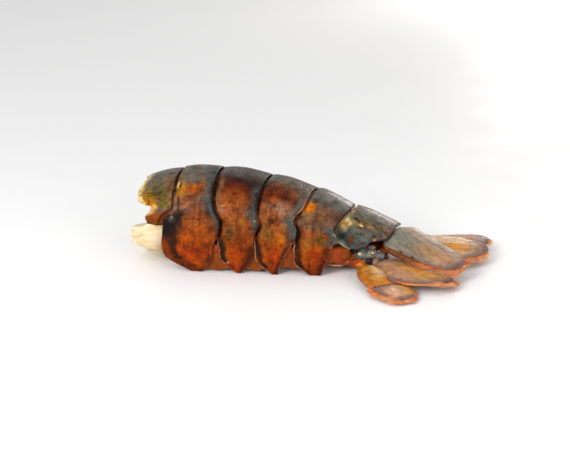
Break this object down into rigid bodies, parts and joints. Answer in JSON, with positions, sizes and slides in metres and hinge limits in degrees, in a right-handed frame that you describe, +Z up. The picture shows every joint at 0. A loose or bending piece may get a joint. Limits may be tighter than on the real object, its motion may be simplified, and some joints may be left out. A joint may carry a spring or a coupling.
{
  "type": "frozen lobster tail",
  "caption": "Raw lobster tail in its shell, lying on its belly and curved sideways, with overlapping shell rings, pale meat bulging from the cut end and a spread tail fan.",
  "frame": {"origin": "middle of the bounding box in plan, on the plane that the feet of the side flaps stand on", "axes": "+X from the cut end to the tail fan, +Z up from the belly to the back; the midline bends towards -Y at both ends"},
  "size_m": [0.1564, 0.094, 0.0396],
  "materials": {
    "shell_front": "wet olive shell with dark speckles and a cream front rim",
    "shell": "wet burnt orange shell, grey-blue over the back, pitted and speckled",
    "shell_rear": "wet blue-grey shell with cream and brown spots",
    "flesh": "moist white-cream raw meat, torn at the cut end",
    "belly": "moist reddish-brown belly skin and folded swimming feet",
    "fan": "thin wet blades, yellow to pinkish brown with purple-grey rims and an orange-pink fringe",
    "telson": "wet grey-olive middle blade with a dark rim and an orange-pink fringe"
  },
  "bodies": {
    "root": {"ring_1": "shell_front", "ring_2": "shell", "ring_3": "shell", "ring_4": "shell", "ring_5": "shell", "ring_6": "shell_rear", "flesh": "flesh", "belly": "belly", "belly_foot_2_left": "belly", "belly_foot_2_right": "belly", "belly_foot_3_left": "belly", "belly_foot_3_right": "belly", "belly_foot_4_left": "belly", "belly_foot_4_right": "belly", "belly_foot_5_left": "belly", "belly_foot_5_right": "belly", "telson": "telson", "inner_blade_left": "fan", "inner_blade_right": "fan", "outer_blade_left": "fan", "outer_blade_right": "fan", "outer_tip_left": "fan", "outer_tip_right": "fan", "stalk_left": "shell_rear", "stalk_right": "shell_rear"}
  },
  "joints": []
}
